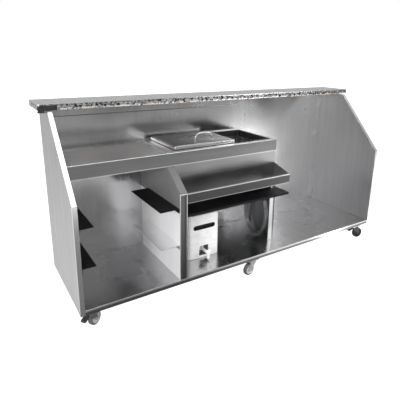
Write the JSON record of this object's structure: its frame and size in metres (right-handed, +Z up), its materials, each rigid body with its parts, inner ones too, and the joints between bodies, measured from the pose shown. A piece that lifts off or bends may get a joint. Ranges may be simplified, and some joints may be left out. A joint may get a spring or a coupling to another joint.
{
  "type": "portable bar",
  "caption": "Portable stainless back bar on casters with ice bin, drainboard, speed rail, storage bays, drain hose and water jug.",
  "frame": {"origin": "on the ground under the middle of the counter's box", "axes": "+X along the bar to the right as the bartender sees it, +Y towards the customer, +Z up"},
  "size_m": [2.44, 0.684, 1.151],
  "materials": {
    "panel_steel": "satin brushed, vertical grain",
    "edge_steel": "bright polished edge channel",
    "lining_steel": "mill-bright lining sheet",
    "floor_steel": "mill-bright floor sheet",
    "deck_steel": "brushed along the bar",
    "drainer_steel": "perforated, satin",
    "hammered_steel": "hammered, polished",
    "liner_steel": "bright",
    "plywood": "raw plywood",
    "zinc": "zinc plated",
    "polished_rod": "polished",
    "black_rubber": "matt black",
    "black_coat": "black powder coat",
    "foam": "closed-cell foam",
    "brass_valve": "cast brass, dull",
    "red_grip": "vinyl dipped",
    "jug_plastic": "white polyethylene",
    "clear_hose": "grey translucent vinyl",
    "dark_plastic": "black nylon",
    "grey_tread": "grey rubber tyre on a nylon centre",
    "black_tread": "black rubber tyre on a nylon centre",
    "black_fork": "black coated steel"
  },
  "bodies": {
    "bar": {"left_end_panel": "panel_steel", "right_end_panel": "panel_steel", "left_edge_trim": "edge_steel", "right_edge_trim": "edge_steel", "customer_fascia": "panel_steel", "inner_back_wall": "lining_steel", "lower_back_panel": "lining_steel", "floor_pan": "floor_steel", "under_frame": "zinc", "counter_core": "plywood", "counter_top": "hammered_steel", "counter_corner_guard": "black_rubber", "work_deck": "deck_steel", "backsplash": "lining_steel", "drainer_well": "deck_steel", "drainer_waste": "zinc", "bin_shell": "lining_steel", "bin_insulation": "foam", "bin_liner": "liner_steel", "bin_breaker_strip": "black_rubber", "bin_drain": "zinc", "drain_valve": "brass_valve", "left_partition": "lining_steel", "right_partition": "lining_steel", "speed_rail": "deck_steel", "rail_end_plates": "panel_steel", "lower_shelf": "black_coat", "left_upper_ledge": "black_coat", "left_lower_ledge": "black_coat", "partition_upper_ledge": "black_coat", "partition_lower_ledge": "panel_steel", "hose_tube": "clear_hose", "hose_hank": "clear_hose", "hose_nozzle": "dark_plastic", "hose_hook": "zinc", "caster_plates": "zinc", "caster_bolts": "zinc"},
    "drain_plate": {"drainer_insert": "drainer_steel"},
    "ice_lid": {"bin_lid": "deck_steel", "lid_handle": "polished_rod"},
    "jug": {"water_jug": "jug_plastic", "jug_tap": "jug_plastic"},
    "cap": {"jug_cap": "jug_plastic"},
    "tap_key": {"tap_lever": "jug_plastic"},
    "drain_lever": {"valve_lever": "red_grip"},
    "swivel_1": {"caster_fork_1": "zinc"},
    "wheel_1": {"caster_wheel_1": "grey_tread"},
    "brake_1": {"brake_pedal_1": "black_fork"},
    "swivel_2": {"caster_fork_2": "zinc"},
    "wheel_2": {"caster_wheel_2": "grey_tread"},
    "swivel_3": {"caster_fork_3": "black_fork"},
    "wheel_3": {"caster_wheel_3": "black_tread"},
    "brake_3": {"brake_pedal_3": "black_fork"},
    "swivel_4": {"caster_fork_4": "zinc"},
    "wheel_4": {"caster_wheel_4": "grey_tread"},
    "swivel_5": {"caster_fork_5": "zinc"},
    "wheel_5": {"caster_wheel_5": "grey_tread"},
    "swivel_6": {"caster_fork_6": "zinc"},
    "wheel_6": {"caster_wheel_6": "grey_tread"}
  },
  "joints": [
    {"name": "lid_slide", "type": "slide", "parent": "bar", "child": "ice_lid", "axis": [1, 0, 0], "range_m": [0, 0.285]},
    {"name": "drain_plate_lift", "type": "slide", "parent": "bar", "child": "drain_plate", "axis": [0, 0, 1], "range_m": [0, 0.15]},
    {"name": "jug_slide", "type": "slide", "parent": "bar", "child": "jug", "axis": [0, -1, 0], "range_m": [0, 0.4]},
    {"name": "cap_lift", "type": "slide", "parent": "jug", "child": "cap", "axis": [0, 0, 1], "range_m": [0, 0.05]},
    {"name": "tap_turn", "type": "hinge", "parent": "jug", "child": "tap_key", "pos_m": [-0.3405, -0.226, 0.206], "axis": [0, 0, 1], "range_deg": [0, 90]},
    {"name": "drain_valve_turn", "type": "hinge", "parent": "bar", "child": "drain_lever", "pos_m": [0.0885, -0.008, 0.51], "axis": [0, 1, 0], "range_deg": [0, 90]},
    {"name": "swivel_1_turn", "type": "hinge", "parent": "bar", "child": "swivel_1", "pos_m": [-1.1215, -0.292, 0.1], "axis": [0, 0, 1], "continuous": true},
    {"name": "wheel_1_roll", "type": "hinge", "parent": "swivel_1", "child": "wheel_1", "pos_m": [-1.09693, -0.27479, 0.04], "axis": [-0.5736, 0.8192, 0], "continuous": true},
    {"name": "brake_1_press", "type": "hinge", "parent": "swivel_1", "child": "brake_1", "pos_m": [-1.13624, -0.30232, 0.088], "axis": [0.5736, -0.8192, 0], "range_deg": [0, 12]},
    {"name": "swivel_2_turn", "type": "hinge", "parent": "bar", "child": "swivel_2", "pos_m": [-0.0465, -0.308, 0.1], "axis": [0, 0, 1], "continuous": true},
    {"name": "wheel_2_roll", "type": "hinge", "parent": "swivel_2", "child": "wheel_2", "pos_m": [-0.07604, -0.31321, 0.04], "axis": [0.1736, -0.9848, 0], "continuous": true},
    {"name": "swivel_3_turn", "type": "hinge", "parent": "bar", "child": "swivel_3", "pos_m": [1.0065, -0.308, 0.1], "axis": [0, 0, 1], "continuous": true},
    {"name": "wheel_3_roll", "type": "hinge", "parent": "swivel_3", "child": "wheel_3", "pos_m": [1.03584, -0.31424, 0.04], "axis": [0.2079, 0.9781, 0], "continuous": true},
    {"name": "brake_3_press", "type": "hinge", "parent": "swivel_3", "child": "brake_3", "pos_m": [0.98889, -0.30426, 0.088], "axis": [-0.2079, -0.9781, 0], "range_deg": [0, 12]},
    {"name": "swivel_4_turn", "type": "hinge", "parent": "bar", "child": "swivel_4", "pos_m": [-1.1215, 0.21, 0.1], "axis": [0, 0, 1], "continuous": true},
    {"name": "wheel_4_roll", "type": "hinge", "parent": "swivel_4", "child": "wheel_4", "pos_m": [-1.12671, 0.18046, 0.04], "axis": [0.9848, -0.1736, 0], "continuous": true},
    {"name": "swivel_5_turn", "type": "hinge", "parent": "bar", "child": "swivel_5", "pos_m": [-0.0465, 0.21, 0.1], "axis": [0, 0, 1], "continuous": true},
    {"name": "wheel_5_roll", "type": "hinge", "parent": "swivel_5", "child": "wheel_5", "pos_m": [-0.04129, 0.18046, 0.04], "axis": [0.9848, 0.1736, 0], "continuous": true},
    {"name": "swivel_6_turn", "type": "hinge", "parent": "bar", "child": "swivel_6", "pos_m": [1.0065, 0.21, 0.1], "axis": [0, 0, 1], "continuous": true},
    {"name": "wheel_6_roll", "type": "hinge", "parent": "swivel_6", "child": "wheel_6", "pos_m": [1.00389, 0.18011, 0.04], "axis": [0.9962, -0.0872, 0], "continuous": true}
  ]
}
